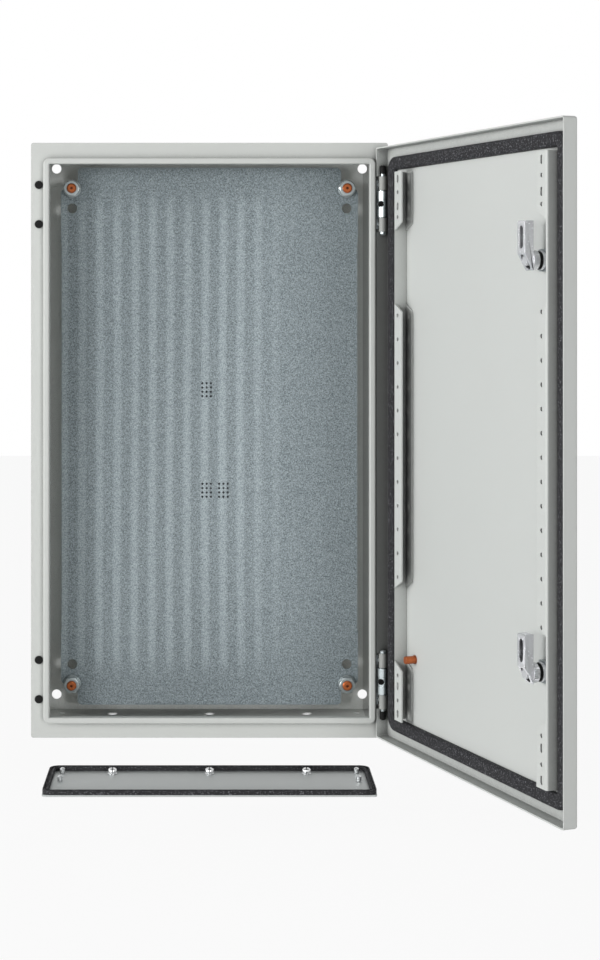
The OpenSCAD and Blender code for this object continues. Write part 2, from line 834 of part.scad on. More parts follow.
cabinet_wrap();
back_panel();
mounting_plate();
plate_studs();
plate_back_nuts();
plate_washers();
plate_nuts();
hinge_hole_plugs();
upper_hinge_body();
lower_hinge_body();
hinge_screws();
door_panel();
door_seal();
hinge_side_strip();
lock_side_strip();
hinge_barrels();
upper_hinge_pin();
lower_hinge_pin();
hinge_pin_caps();
door_earth_stud();
upper_lock_housing();
lower_lock_housing();
lock_nuts();
lock_rings();
upper_lock_cam();
lower_lock_cam();
upper_lock_spindle();
lower_lock_spindle();
gland_plate();
gland_seal();
gland_clips();
gland_dowels();
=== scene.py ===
import json
import math

import bmesh
import bpy
from mathutils import Matrix, Vector, noise


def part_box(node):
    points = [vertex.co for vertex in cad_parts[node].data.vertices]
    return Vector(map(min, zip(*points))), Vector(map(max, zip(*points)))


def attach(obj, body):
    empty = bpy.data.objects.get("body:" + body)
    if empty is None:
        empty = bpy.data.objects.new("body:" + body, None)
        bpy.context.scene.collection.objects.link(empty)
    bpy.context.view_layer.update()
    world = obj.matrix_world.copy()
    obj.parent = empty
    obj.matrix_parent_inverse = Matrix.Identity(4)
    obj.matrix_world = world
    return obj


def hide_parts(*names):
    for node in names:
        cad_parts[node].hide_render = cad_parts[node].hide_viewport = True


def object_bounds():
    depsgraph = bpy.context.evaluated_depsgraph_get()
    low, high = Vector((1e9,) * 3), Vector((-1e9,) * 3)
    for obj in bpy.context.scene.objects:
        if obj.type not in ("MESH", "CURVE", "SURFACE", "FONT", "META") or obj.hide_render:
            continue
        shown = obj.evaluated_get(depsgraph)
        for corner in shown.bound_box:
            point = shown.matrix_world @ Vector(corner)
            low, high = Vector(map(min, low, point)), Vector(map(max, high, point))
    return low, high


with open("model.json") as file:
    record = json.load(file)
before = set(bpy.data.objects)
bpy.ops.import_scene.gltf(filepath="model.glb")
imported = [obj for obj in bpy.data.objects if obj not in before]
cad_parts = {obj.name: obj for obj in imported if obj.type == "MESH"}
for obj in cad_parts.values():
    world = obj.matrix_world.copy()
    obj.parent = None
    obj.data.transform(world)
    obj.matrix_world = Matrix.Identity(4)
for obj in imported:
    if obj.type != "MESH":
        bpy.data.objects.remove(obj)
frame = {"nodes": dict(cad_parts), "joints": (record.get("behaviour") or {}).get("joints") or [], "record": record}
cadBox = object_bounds()
nodes = frame["nodes"]
joints = {j["name"]: j for j in frame["joints"]}
print("frame loaded:", len(nodes), "nodes")

scene = bpy.context.scene
scene.view_settings.view_transform = "Standard"

# camera, level with the upper part of the cabinet
viewPlan = {
    "distance": 1.5835,
    "height": 0.1183,
    "lens": 70.65,
    "sensor": 36.0,
    "shift": (0.0943, -0.188),
    "plugHead": 0.0008,
}


def makeCamera(plan):
    data = bpy.data.cameras.new("camera")
    data.lens = plan["lens"]
    data.sensor_width = plan["sensor"]
    data.shift_x, data.shift_y = plan["shift"]
    data.clip_start, data.clip_end = 0.05, 50
    camera = bpy.data.objects.new("camera", data)
    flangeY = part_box("hinge_hole_plugs")[0].y + plan["plugHead"]
    camera.location = (0, flangeY - plan["distance"], plan["height"])
    camera.rotation_euler = (math.radians(90), 0, 0)
    scene.collection.objects.link(camera)
    scene.camera = camera


makeCamera(viewPlan)
print("camera placed")


# shader maths on sockets, written as expressions
class Sock:
    def __init__(self, paint, out):
        self.paint, self.out = paint, out

    def math(self, operation, *others, clamp=False):
        return self.paint.node("ShaderNodeMath", {"operation": operation, "use_clamp": clamp}, self, *others)

    def __add__(self, other): return self.math("ADD", other)
    def __radd__(self, other): return self.math("ADD", other)
    def __sub__(self, other): return self.math("SUBTRACT", other)
    def __rsub__(self, other): return self.math("MULTIPLY", -1.0) + other
    def __mul__(self, other): return self.math("MULTIPLY", other)
    def __rmul__(self, other): return self.math("MULTIPLY", other)
    def sine(self): return self.math("SINE")
    def size(self): return self.math("ABSOLUTE")
    def clipped(self): return self.math("ADD", 0.0, clamp=True)
    def above(self, level): return self.math("GREATER_THAN", level)
    def below(self, level): return self.math("LESS_THAN", level)
    def ramp(self, low, high):
        return self.paint.node("ShaderNodeMapRange", {"interpolation_type": "SMOOTHSTEP"}, self, low, high, 0.0, 1.0)


class Finish:
    def __init__(self, name):
        self.material = bpy.data.materials.new(name)
        self.material.use_nodes = True
        self.tree = self.material.node_tree
        self.tree.nodes.clear()
        self.shader = self.tree.nodes.new("ShaderNodeBsdfPrincipled")
        self.end = self.tree.nodes.new("ShaderNodeOutputMaterial")
        self.tree.links.new(self.shader.outputs[0], self.end.inputs[0])
        self.place = self.tree.nodes.new("ShaderNodeTexCoord")

    def node(self, kind, settings, *values, pick=0, **named):
        made = self.tree.nodes.new(kind)
        for key, value in settings.items():
            setattr(made, key, value)
        inputs = [(made.inputs[i], v) for i, v in enumerate(values)]
        inputs += [(made.inputs[k.replace("_", " ")], v) for k, v in named.items()]
        for slot, value in inputs:
            if value is None:
                continue
            if isinstance(value, Sock):
                self.tree.links.new(value.out, slot)
            else:
                slot.default_value = value
        return Sock(self, made.outputs[pick])

    def where(self):
        return Sock(self, self.place.outputs["Object"])

    def axes(self):
        split = self.tree.nodes.new("ShaderNodeSeparateXYZ")
        self.tree.links.new(self.place.outputs["Object"], split.inputs[0])
        return [Sock(self, split.outputs[i]) for i in range(3)]

    def stretched(self, scale):
        return self.node("ShaderNodeMapping", {}, self.where(), None, None, scale)

    def noise(self, scale, detail=2.0, rough=0.5, on=None):
        return self.node("ShaderNodeTexNoise", {}, on or self.where(), None, scale, detail, rough)

    def mix(self, factor, low, high):
        made = self.tree.nodes.new("ShaderNodeMix")
        made.data_type = "RGBA"
        for slot, value in ((made.inputs[0], factor), (made.inputs[6], low), (made.inputs[7], high)):
            if isinstance(value, Sock):
                self.tree.links.new(value.out, slot)
            else:
                slot.default_value = value if isinstance(value, float) else (*value[:3], 1)
        return Sock(self, made.outputs[2])

    def bump(self, height, strength, distance, under=None):  # under is the normal below the bump
        return self.node("ShaderNodeBump", {}, Height=height, Strength=strength, Distance=distance, Normal=under)

    # its value darkens the finishes' colours in corners and recesses: painted shade
    def crevice(self, reach):  # 0 in a deep corner, 1 in the open
        return self.node("ShaderNodeAmbientOcclusion", {"samples": 6}, None, reach, pick=1)

    def bevel(self, radius):
        return self.node("ShaderNodeBevel", {"samples": 4}, radius)

    def set(self, **sockets):
        for name, value in sockets.items():
            slot = self.shader.inputs[name.replace("_", " ")]
            if isinstance(value, Sock):
                self.tree.links.new(value.out, slot)
            else:
                slot.default_value = (*value, 1) if isinstance(value, tuple) and len(value) == 3 else value
        return self.material


# inside the cabinet the paint is made lighter and its hinge-side wall darker (painted light and painted shade); the
# channel along the door's folded hinge-side edge is darkened (painted shade)
def sheetPaint(name, colour, corner=0.34, reach=0.007, interiorLightPlan=None, shade=(0.15, 0.92), channel=None):
    f = Finish(name)
    grain = f.noise(1500.0, 2.0)
    cloud = f.noise(7.0, 2.0)
    shadeEdgeNoise = f.noise(240.0, 3.0, 0.6)
    dark = tuple(c * 0.955 for c in colour)
    toneBeforeCornerShade = f.mix(cloud * 0.6 + grain * 0.4, dark, tuple(min(1, c * 1.03) for c in colour))
    # lighter paint inside the cabinet and darker paint on its hinge-side wall: painted light and painted shade
    if interiorLightPlan:
        x, y, z = f.axes()
        inside = x.size().below(interiorLightPlan["x"]) * z.size().below(interiorLightPlan["z"])
        inside = inside * y.above(interiorLightPlan["front"]) * y.below(interiorLightPlan["back"])
        hingeWallPaintedShade = tuple(c * interiorLightPlan["hingeWallPaintedShade"] for c in interiorLightPlan["colour"])
        paintedInteriorTone = f.mix(x.above(interiorLightPlan["x"] - interiorLightPlan["wall"]), interiorLightPlan["colour"], hingeWallPaintedShade)
        toneBeforeCornerShade = f.mix(inside, toneBeforeCornerShade, paintedInteriorTone)
    # a band along the channel of the door's folded hinge-side edge is darkened, fading towards its ends: painted
    # shade
    if channel:
        x, y, z = f.axes()
        away = (x - hingeAt.x) * doorBack[0][0] + (y - hingeAt.y) * doorBack[0][1] + hingeAt.x
        deep = (x - hingeAt.x) * doorBack[1][0] + (y - hingeAt.y) * doorBack[1][1] + hingeAt.y
        rim = away.above(channel["x"][0]) * away.below(channel["x"][1]) * deep.above(channel["y"])
        ends = (channel["z"] - z.size()).ramp(0.0, channel["fade"])
        toneBeforeCornerShade = f.mix(rim * ends * channel["share"], toneBeforeCornerShade, tuple(c * channel["dim"] for c in colour))
    # the colour is darkened to corner times the colour where the occlusion reach finds corners and recesses: painted
    # shade; the noise only roughens that shade's edge
    paintedShadeOpenness = f.crevice(reach) - (shadeEdgeNoise - 0.5) * 0.12
    f.set(Base_Color=f.mix(paintedShadeOpenness.ramp(*shade), tuple(c * corner for c in colour), toneBeforeCornerShade),
          Roughness=0.40 + grain * 0.16, Normal=f.bump(grain, 0.12, 0.0004, under=f.bevel(0.0004)))
    return f.material


def galvanised(name, plan):
    f = Finish(name)
    x, y, z = f.axes()
    wobble = f.noise(9.0, 2.0, on=f.stretched((1, 1, 0.35)))
    crystals = f.noise(860.0, 3.0, 0.6)
    flecks = f.noise(1500.0, 1.0, on=f.stretched((1, 1, 0.5)))
    streak = f.noise(60.0, 3.0, 0.7, on=f.stretched((0.15, 1, 9)))
    wave = ((x + wobble * 0.006) * (2 * math.pi / plan["bandPitch"]) + plan["bandPhase"]).sine()
    reach = (z.size() * -1 + plan["bandEnd"]).ramp(0.0, 0.03) * (plan["bandRight"] - x).ramp(0.0, 0.07)
    bands = (wave * 0.5 + 0.5).ramp(0.25, 1.0) * reach * (0.55 + wobble * 0.9)
    broad = f.noise(5.0, 1.0, on=f.stretched((1, 1, 0.5)))
    tone = plan["tone"] + bands * plan["bands"] + (crystals - 0.5) * 1.7 + (flecks - 0.5) * 1.2
    tone = tone + (streak - 0.5) * 0.12 + (broad - 0.5) * 0.3
    toneBeforeCornerShade = f.mix(tone.clipped(), plan["dark"], plan["light"])
    # darker in corners and recesses found by the occlusion reach: painted shade
    f.set(Base_Color=f.mix(f.crevice(0.004).ramp(0.1, 0.9), tuple(c * 0.35 for c in plan["dark"]), toneBeforeCornerShade),
          Metallic=plan["metal"], Roughness=0.46 + crystals * 0.25,
          Normal=f.bump(crystals, 0.10, 0.0004, under=f.bevel(0.0003)))
    return f.material


def plated(name, colour, metal, rough, corner=0.12, reach=0.003):
    f = Finish(name)
    spots = f.noise(900.0, 3.0)
    film = f.noise(70.0, 3.0)
    dull = tuple(c * 0.86 for c in colour)
    toneBeforeCornerShade = f.mix(film * 0.5 + spots * 0.5, dull, colour)
    # darker in corners and recesses found by the occlusion reach: painted shade
    f.set(Base_Color=f.mix(f.crevice(reach).ramp(0.15, 0.95), tuple(c * corner for c in colour), toneBeforeCornerShade),
          Metallic=metal, Roughness=rough - 0.06 + spots * 0.14,
          Normal=f.bump(spots, 0.08, 0.0002, under=f.bevel(0.0003)))
    return f.material


def foam(name, colour):
    f = Finish(name)
    cells = f.node("ShaderNodeTexVoronoi", {"feature": "F1"}, f.where(), None, 1400.0)
    lumps = f.noise(160.0, 3.0)
    light = tuple(c * 3.0 for c in colour)
    # shine lowers the roughness in specks and also lightens their colour to grey: painted highlights
    shine = f.noise(900.0, 2.0, 0.6).ramp(0.56, 0.70)
    f.shader.inputs["Specular IOR Level"].default_value = 0.18
    # the colour goes up to three times lighter where the bump noise is high, so the bump tops are lighter: painted
    # light
    body = f.mix((cells * 0.8 + lumps * 0.5).clipped(), colour, light)
    f.set(Base_Color=f.mix(shine * 0.85, body, (0.22, 0.22, 0.24)), Roughness=0.72 - shine * 0.4,
          Normal=f.bump(cells * 0.7 + lumps * 0.6, 0.35, 0.0006))
    return f.material


def moulded(name, colour, rough):
    f = Finish(name)
    grain = f.noise(1800.0, 2.0)
    f.shader.inputs["Specular IOR Level"].default_value = 0.1
    f.set(Base_Color=f.mix(grain, colour, tuple(c * 1.8 + 0.01 for c in colour)),
          Roughness=rough + grain * 0.1, Normal=f.bump(grain, 0.1, 0.0002, under=f.bevel(0.0003)))
    return f.material


# where the shut door's pieces lie, turned open at rest
hingeJoint = joints["door_hinge"]
hingeAt = Vector(hingeJoint["pos_m"])
doorTurn = (Matrix.Translation(hingeAt) @ Matrix.Rotation(-math.radians(hingeJoint["range_deg"][0]), 4, "Z")
            @ Matrix.Translation(-hingeAt))
doorBack = doorTurn.inverted()


def shutBox(name):
    spots = [doorBack @ v.co for v in nodes[name].data.vertices]
    return (Vector([min(s[i] for s in spots) for i in range(3)]),
            Vector([max(s[i] for s in spots) for i in range(3)]))


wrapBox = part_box("cabinet_wrap")
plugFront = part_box("hinge_hole_plugs")[0].y
doorLow, doorHigh = shutBox("door_panel")
# where the door's hinge-side rim channel is painted darker: painted shade
rimChannelPaintedShade = {"x": (doorHigh.x - 0.0088, doorHigh.x - 0.0007), "y": doorLow.y + 0.0008,
              "z": doorHigh.z - 0.012, "fade": 0.05, "dim": 0.16, "share": 0.8}
# the cabinet's inside is painted lighter than its outside, and its hinge-side wall darker: painted light and painted
# shade
cabinetInteriorLight = {"x": wrapBox[1].x - 0.0006, "z": wrapBox[1].z - 0.0006, "front": plugFront + 0.0014, "back": -0.0006,
         "colour": (0.69, 0.71, 0.685), "hingeWallPaintedShade": 0.66, "wall": 0.012}
backPanelInteriorLight = dict(cabinetInteriorLight, colour=(0.88, 0.90, 0.875))
cabinetColour = (0.585, 0.602, 0.580)
finishes = {
    "cabinet_paint": sheetPaint("cabinetPaint", cabinetColour, interiorLightPlan=cabinetInteriorLight),
    # strong painted shade in the door's recesses, behind the strips and in their holes, from the long occlusion reach
    "door_paint": sheetPaint("doorPaint", (0.625, 0.645, 0.625), 0.10, 0.02, shade=(0.1, 0.66), channel=rimChannelPaintedShade),
    "galvanised": galvanised("galvanisedPlate", {
        "bandPitch": 0.0156, "bandPhase": 1.8, "bandEnd": 0.222, "bandRight": 0.085, "bands": 0.24,
        "tone": 0.34, "metal": 0.5, "dark": (0.105, 0.130, 0.142), "light": (0.46, 0.525, 0.55)}),
    "zinc": plated("zincPlate", (0.50, 0.55, 0.56), 0.85, 0.30),
    "die_cast": plated("dieCastZinc", (0.90, 0.91, 0.94), 0.55, 0.24, corner=0.02, reach=0.007),
    "copper": plated("copperPlate", (0.56, 0.15, 0.045), 0.6, 0.36),
    "black_plastic": moulded("blackPlastic", (0.004, 0.004, 0.004), 0.5),
    "foam": foam("foamSeal", (0.011, 0.011, 0.012)),
}
special = {
    # the back panel is painted lighter still, and darkened behind the plate and in its holes by the long occlusion
    # reach: painted light and painted shade
    "back_panel": sheetPaint("backPaint", cabinetColour, 0.05, 0.035, interiorLightPlan=backPanelInteriorLight, shade=(0.05, 0.34)),
    # corner and reach set how dark the painted shade in the recesses of these metal parts gets
    "upper_hinge_body": plated("bluePlate", (0.60, 0.66, 0.68), 0.85, 0.22, corner=0.03, reach=0.006),
    "gland_clips": plated("clipZinc", (0.86, 0.87, 0.88), 0.8, 0.25, corner=0.25, reach=0.0012),
    "gland_dowels": plated("dowelZinc", (0.74, 0.76, 0.77), 0.8, 0.28, corner=0.4, reach=0.0012),
    "gland_plate": plated("glandSheet", (0.52, 0.545, 0.54), 0.5, 0.42, corner=0.6),
    "hinge_barrels": sheetPaint("barrelPaint", (0.36, 0.37, 0.355)),
}
special["lower_hinge_body"] = special["upper_hinge_body"]
for part in frame["record"]["subparts"]:
    slots = nodes[part["node"]].data.materials
    slots.clear()
    slots.append(special.get(part["node"], finishes[part["material_slot"]]))
print("finishes set")


def addPiece(name, mesh, material, body, replaced=(), smooth=35):
    piece = bpy.data.objects.new(name, mesh)
    scene.collection.objects.link(piece)
    if material:
        mesh.materials.clear()
        mesh.materials.append(material)
    if smooth:
        mesh.shade_smooth()
        mesh.set_sharp_from_angle(angle=math.radians(smooth))
    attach(piece, body)
    if replaced:
        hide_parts(*replaced)
    return piece


def meshOf(name, form):
    mesh = bpy.data.meshes.new(name)
    form.to_mesh(mesh)
    form.free()
    return mesh


# points of a rounded rectangle in XZ, each with its outward direction
def roundPath(low, high, radius, step, arc=14):
    spots = []
    corners = [(high.x - radius, high.z - radius, 0), (low.x + radius, high.z - radius, 90),
               (low.x + radius, low.z + radius, 180), (high.x - radius, low.z + radius, 270)]
    for i, (cx, cz, start) in enumerate(corners):
        for k in range(arc + 1):
            a = math.radians(start + 90 * k / arc)
            spots.append((Vector((cx + radius * math.cos(a), 0, cz + radius * math.sin(a))),
                          Vector((math.cos(a), 0, math.sin(a)))))
        nx, nz, ns = corners[(i + 1) % 4]
        a = math.radians(start + 90)
        end, away = spots[-1]
        goal = Vector((nx + radius * math.cos(a), 0, nz + radius * math.sin(a)))
        count = int((goal - end).length / step)
        spots += [(end.lerp(goal, k / count), away) for k in range(1, count)]
    return spots


# closed ring of a section (distance inwards, height), swept round a path
def sweepRing(name, spots, section, rise, lay):
    form = bmesh.new()
    rings = []
    for spot, away in spots:
        rings.append([form.verts.new(lay(spot - away * s[0] + rise * s[1])) for s in section])
    for a, b in zip(rings, rings[1:] + rings[:1]):
        for k in range(len(section)):
            n = (k + 1) % len(section)
            form.faces.new((a[k], a[n], b[n], b[k]))
    bmesh.ops.recalc_face_normals(form, faces=form.faces[:])
    return meshOf(name, form)


# door seal, foamed in place
doorSealPlan = {"width": 0.0115, "corner": 0.012, "flat": 0.30, "crown": 0.96, "swell": 0.00022,
                "skin": 0.00012, "margin": 0.0003, "step": 0.0032}


def makeDoorSeal(plan):
    low, high = shutBox("door_seal")
    width = plan["width"]
    height = high.y - low.y
    across = 16
    section = [(width - plan["margin"], 0), (plan["margin"], 0)]
    for k in range(across + 1):
        a = math.pi * k / across
        s = math.cos(a)
        side = abs(s) ** 0.55 * (1 if s > 0 else -1)
        section.append((width / 2 - side * (width / 2 - plan["margin"]),
                        height * (plan["flat"] + (plan["crown"] - plan["flat"]) * math.sin(a) ** 0.6)))
    section = section[:2] + section[3:-1]

    def lay(spot):
        lump = noise.noise(spot * 55) * plan["swell"] + noise.noise(spot * 310) * plan["skin"]
        rise = min(max((spot.y - low.y) / height, 0), 1)
        return doorTurn @ Vector((spot.x, spot.y - (0.0002 + abs(lump)) * rise, spot.z + lump * rise))

    path = [(p + Vector((0, low.y, 0)), n) for p, n in roundPath(low, high, plan["corner"], plan["step"])]
    mesh = sweepRing("doorSealBead", path, section, Vector((0, 1, 0)), lay)
    addPiece("doorSealBead", mesh, finishes["foam"], "door", ["door_seal"], smooth=60)


makeDoorSeal(doorSealPlan)


# gland seal, a rubber edging with two lips
glandSealPlan = {"width": 0.005, "lip": 0.0013, "groove": 0.0016, "corner": 0.009, "step": 0.006}


def makeGlandSeal(plan):
    low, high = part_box("gland_seal")
    height = high.z - low.z
    width, lip, groove = plan["width"], plan["lip"], plan["groove"]
    section = [(width, 0), (0, 0), (0, height * 0.8), (lip * 0.25, height * 0.97), (lip * 0.7, height),
               (lip, height * 0.9), (lip * 1.2, height - groove), (width - lip * 1.2, height - groove),
               (width - lip, height * 0.88), (width - lip * 0.6, height * 0.95), (width - lip * 0.15, height * 0.9),
               (width, height * 0.7)]
    flatLow, flatHigh = Vector((low.x, 0, low.y)), Vector((high.x, 0, high.y))
    path = roundPath(flatLow, flatHigh, plan["corner"], plan["step"])

    def lay(spot):
        return Vector((spot.x, spot.z, low.z + spot.y))

    mesh = sweepRing("glandSealLips", path, section, Vector((0, 1, 0)), lay)
    addPiece("glandSealLips", mesh, finishes["foam"], "gland_cover", ["gland_seal"], smooth=40)


makeGlandSeal(glandSealPlan)
print("seals made")


# trees for repeated details
class Grower:
    def __init__(self, name, inputs):
        self.tree = bpy.data.node_groups.new(name, "GeometryNodeTree")
        face = self.tree.interface
        face.new_socket("Geometry", in_out="INPUT", socket_type="NodeSocketGeometry")
        for label, (kind, value) in inputs.items():
            face.new_socket(label, in_out="INPUT", socket_type="NodeSocket" + kind).default_value = value
        face.new_socket("Geometry", in_out="OUTPUT", socket_type="NodeSocketGeometry")
        self.start = self.tree.nodes.new("NodeGroupInput")
        self.end = self.tree.nodes.new("NodeGroupOutput")

    def given(self, label):
        return self.start.outputs[label]

    def add(self, kind, settings=None, **values):  # a value's name is its socket's, or i and its number
        made = self.tree.nodes.new("GeometryNode" + kind if not kind.startswith("Shader") else kind)
        for key, value in (settings or {}).items():
            setattr(made, key, value)
        for key, value in values.items():
            numbered = key[0] == "i" and key[1:].isdigit()
            slot = made.inputs[int(key[1:]) if numbered else key.replace("_", " ")]
            if isinstance(value, bpy.types.NodeSocket):
                self.tree.links.new(value, slot)
            else:
                slot.default_value = value
        return made.outputs[0]

    def close(self, geometry, material):
        real = self.add("RealizeInstances", i0=geometry)
        last = self.add("SetMaterial", i0=real, Material=material)
        self.tree.links.new(last, self.end.inputs[0])
        return self.tree


# the tree's result on a base mesh, as a plain mesh
def growMesh(name, tree, base, values, place=None):
    holder = bpy.data.objects.new(name, base)
    scene.collection.objects.link(holder)
    grow = holder.modifiers.new("grow", "NODES")
    grow.node_group = tree
    for item in tree.interface.items_tree:
        if item.in_out == "INPUT" and item.name in values:
            grow[item.identifier] = values[item.name]
    graph = bpy.context.evaluated_depsgraph_get()
    mesh = bpy.data.meshes.new_from_object(holder.evaluated_get(graph))
    mesh.name = name
    holder.modifiers.clear()
    bpy.data.objects.remove(holder)
    if place:
        mesh.transform(place)
    return mesh


def spotMesh(name, spots):
    mesh = bpy.data.meshes.new(name)
    mesh.from_pydata(spots, [], [])
    return mesh


# screw threads on the studs
def threadTree(material):
    g = Grower("studThread", {"Radius": ("Float", 0.004), "Pitch": ("Float", 0.00125), "Length": ("Float", 0.003),
                              "Depth": ("Float", 0.0005), "Turn": ("Vector", (0, 0, 0))})
    turns = g.add("ShaderNodeMath", {"operation": "DIVIDE"}, i0=g.given("Length"), i1=g.given("Pitch"))
    helix = g.add("CurveSpiral", None, Resolution=28, Rotations=turns, Start_Radius=g.given("Radius"),
                  End_Radius=g.given("Radius"), Height=g.given("Length"))
    ridge = g.add("CurvePrimitiveCircle", None, Resolution=4, Radius=g.given("Depth"))
    thread = g.add("CurveToMesh", None, Curve=helix, Profile_Curve=ridge, Fill_Caps=True)
    turned = g.add("Transform", None, Geometry=thread, Rotation=g.given("Turn"))
    spread = g.add("InstanceOnPoints", None, Points=g.given("Geometry"), Instance=turned)
    return g.close(spread, material)


threadPlan = {"radius": 0.004, "pitch": 0.00125, "depth": 0.00042, "earthRadius": 0.003, "earthPitch": 0.001,
              "earthDepth": 0.00032, "sunk": 0.35, "startGap": 0.0001, "endGap": 0.0013, "earthStart": 0.0012,
              "earthEnd": 0.0006}


def makeThreads(plan):
    tree = threadTree(finishes["copper"])
    low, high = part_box("plate_studs")
    radius = plan["radius"]
    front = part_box("plate_nuts")[0].y
    spots = [(x, front - plan["startGap"], z)
             for x in (low.x + radius, high.x - radius) for z in (low.z + radius, high.z - radius)]
    values = {"Radius": radius - plan["depth"] * plan["sunk"], "Pitch": plan["pitch"],
              "Length": front - low.y - plan["endGap"], "Depth": plan["depth"], "Turn": (math.pi / 2, 0, 0)}
    mesh = growMesh("plateStudThreads", tree, spotMesh("studSpots", spots), values)
    addPiece("plateStudThreads", mesh, None, "cabinet", smooth=20)
    low, high = shutBox("door_earth_stud")
    mid = (low + high) / 2
    start = (mid.x, low.y + plan["earthStart"], mid.z)
    values = {"Radius": plan["earthRadius"] - plan["earthDepth"] * plan["sunk"], "Pitch": plan["earthPitch"],
              "Length": high.y - low.y - plan["earthStart"] - plan["earthEnd"], "Depth": plan["earthDepth"],
              "Turn": (-math.pi / 2, 0, 0)}
    mesh = growMesh("earthStudThread", tree, spotMesh("earthSpot", [start]), values, doorTurn)
    addPiece("earthStudThread", mesh, None, "door", smooth=20)


makeThreads(threadPlan)


# snap clips, a split dome on a collar
clipPlan = {"count": 3, "collar": 0.0042, "neck": 0.0034, "dome": 0.0040, "height": 0.0056, "core": 0.0009,
            "petals": 4, "slit": 0.0007}


def makeClips(plan):
    low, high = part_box("gland_clips")
    r, h, slit = plan["collar"], plan["height"], plan["slit"]
    outline = [(r, 0), (r, 0.0008), (plan["neck"], 0.0011), (plan["neck"], 0.0020), (plan["dome"], 0.0028),
               (plan["dome"] * 0.93, 0.0040), (plan["dome"] * 0.62, 0.0051), (plan["dome"] * 0.25, h)]
    form = bmesh.new()
    arc, core = 7, plan["core"]
    for petal in range(plan["petals"]):
        middle = 2 * math.pi * petal / plan["petals"] + math.pi / plan["petals"]
        rows = []
        for radius, z in outline:
            half = math.pi / plan["petals"] - math.asin(min(0.9, slit / 2 / max(radius, 0.001)))
            row = [form.verts.new((radius * math.cos(middle + half * (2 * k / arc - 1)),
                                   radius * math.sin(middle + half * (2 * k / arc - 1)), z)) for k in range(arc + 1)]
            row.append(form.verts.new((core * math.cos(middle), core * math.sin(middle), z)))
            rows.append(row)
        size = arc + 2
        for a, b in zip(rows, rows[1:]):
            for k in range(size):
                n = (k + 1) % size
                form.faces.new((a[k], a[n], b[n], b[k]))
        form.faces.new(rows[0][::-1])
        form.faces.new(rows[-1])
    bmesh.ops.recalc_face_normals(form, faces=form.faces[:])
    petalMesh = meshOf("clipForm", form)
    g = Grower("clipRow", {"Count": ("Int", 3), "Pitch": ("Float", 0.086)})
    step = g.add("ShaderNodeCombineXYZ", None, X=g.given("Pitch"))
    row = g.add("MeshLine", None, Count=g.given("Count"), Start_Location=(0.0, 0.0, 0.0), Offset=step)
    spread = g.add("InstanceOnPoints", None, Points=row, Instance=g.given("Geometry"))
    tree = g.close(spread, special["gland_clips"])
    start = Matrix.Translation((low.x + r, (low.y + high.y) / 2, low.z))
    mesh = growMesh("glandClipRow", tree, petalMesh,
                    {"Count": plan["count"], "Pitch": (high.x - low.x - 2 * r) / (plan["count"] - 1)}, start)
    addPiece("glandClipRow", mesh, None, "gland_cover", ["gland_clips"], smooth=30)


makeClips(clipPlan)


# grub screws in the knuckles, with a hexagon socket
grubPlan = {"radius": 0.0023, "length": 0.0018, "edge": 0.0003, "socket": 0.0012, "deep": 0.0011,
            "before": 0.0039, "left": 0.0019}


def makeGrubScrews(plan):
    form = bmesh.new()
    count = 24

    def ring(radius, depth, corners=0):
        row = []
        for k in range(count):
            a = 2 * math.pi * k / count
            r = radius
            if corners:
                part = (a % (2 * math.pi / corners)) - math.pi / corners
                r = radius * math.cos(math.pi / corners) / math.cos(part)
            row.append(form.verts.new((r * math.cos(a), depth, r * math.sin(a))))
        return row

    rows = [ring(plan["radius"], plan["length"]), ring(plan["radius"], plan["edge"]),
            ring(plan["radius"] - plan["edge"], 0), ring(plan["socket"], 0, 6), ring(plan["socket"], plan["deep"], 6)]
    for a, b in zip(rows, rows[1:]):
        for k in range(count):
            n = (k + 1) % count
            form.faces.new((a[k], a[n], b[n], b[k]))
    form.faces.new(rows[0])
    form.faces.new(rows[-1])
    bmesh.ops.recalc_face_normals(form, faces=form.faces[:])
    base = meshOf("grubForm", form)
    spots = []
    for node in ("upper_hinge_body", "lower_hinge_body"):
        low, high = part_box(node)
        spots.append((hingeAt.x - plan["left"], hingeAt.y - plan["before"], (low.z + high.z) / 2))
    g = Grower("grubPair", {"Span": ("Float", 0.4)})
    lift = g.add("ShaderNodeCombineXYZ", None, Z=g.given("Span"))
    pair = g.add("MeshLine", None, Count=2, Start_Location=(0.0, 0.0, 0.0), Offset=lift)
    spread = g.add("InstanceOnPoints", None, Points=pair, Instance=g.given("Geometry"))
    tree = g.close(spread, finishes["black_plastic"])
    low = min(spots, key=lambda v: v[2])
    span = abs(spots[0][2] - spots[1][2])
    mesh = growMesh("hingeGrubScrews", tree, base, {"Span": span}, Matrix.Translation(low))
    addPiece("hingeGrubScrews", mesh, None, "cabinet", smooth=25)


makeGrubScrews(grubPlan)
print("threads, clips and grub screws made")


# lock cams, with their pockets cut out and edges rounded
camPlan = {"edge": 0.0005, "thick": 0.007, "slant": 0.012, "footPocket": (0.0062, 0.0122, 0.0032),
           "longPocket": (0.0050, 0.0165, 0.0058), "pocketDown": 0.0116, "faceCut": (0.03, 0.04, 0.005)}


# size is the width, the length and the depth on each side
def capsuleCutter(name, size, place):
    width, length, depth = size
    form = bmesh.new()
    ring = []
    r = width / 2
    for end in (1, -1):
        for k in range(13):
            a = math.pi * k / 12 + (0 if end > 0 else math.pi)
            ring.append(form.verts.new((r * math.cos(a), -depth, end * (length / 2 - r) + r * math.sin(a))))
    low = form.faces.new(ring)
    pulled = bmesh.ops.extrude_face_region(form, geom=[low])
    moved = [v for v in pulled["geom"] if isinstance(v, bmesh.types.BMVert)]
    bmesh.ops.translate(form, vec=(0, 2 * depth, 0), verts=moved)
    bmesh.ops.recalc_face_normals(form, faces=form.faces[:])
    mesh = meshOf(name, form)
    mesh.transform(place)
    cutter = bpy.data.objects.new(name, mesh)
    scene.collection.objects.link(cutter)
    return cutter


